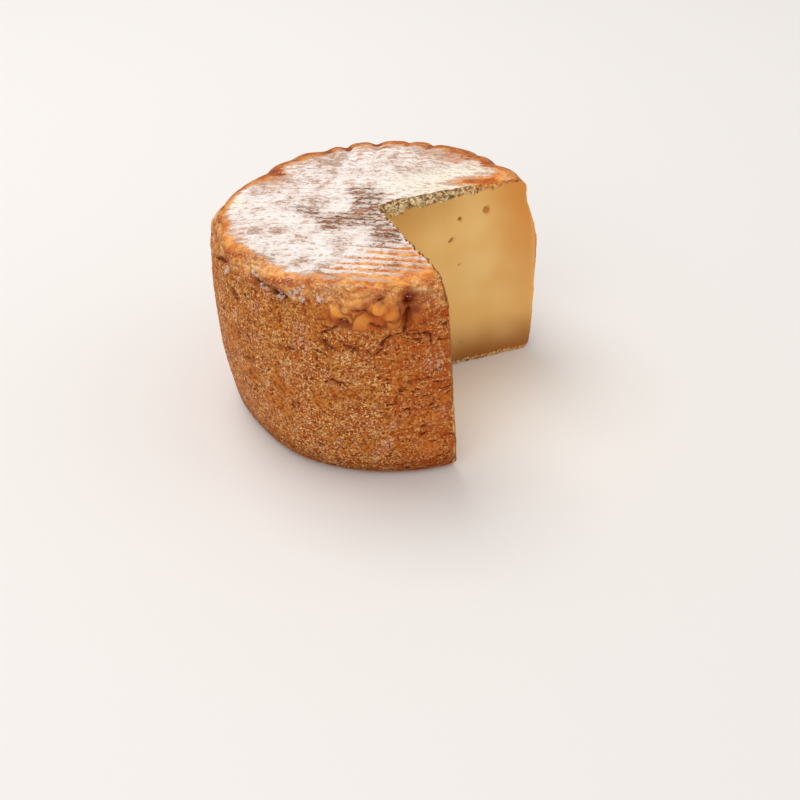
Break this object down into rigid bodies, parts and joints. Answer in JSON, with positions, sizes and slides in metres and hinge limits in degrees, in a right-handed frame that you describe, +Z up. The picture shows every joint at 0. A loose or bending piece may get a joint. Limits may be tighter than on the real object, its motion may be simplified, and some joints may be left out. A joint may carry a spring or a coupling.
{
  "type": "smoked cheese wheel",
  "caption": "Small wheel of smoked cow cheese with a quarter cut out, its top ridged by a draining mat and dusted with white mould.",
  "frame": {"origin": "middle of the flat base's bounding box, on the surface that the cheese stands on", "axes": "+Z up through the wheel; the missing quarter opens between +X and -Y"},
  "size_m": [0.129, 0.1314, 0.0779],
  "materials": {
    "rind": "grainy orange-brown smoked rind, half dull",
    "paste": "smooth, slightly greasy pale yellow cut paste",
    "bloom": "dry white and grey mould crumbs"
  },
  "bodies": {
    "root": {"cheese_wheel": "rind"}
  },
  "joints": []
}
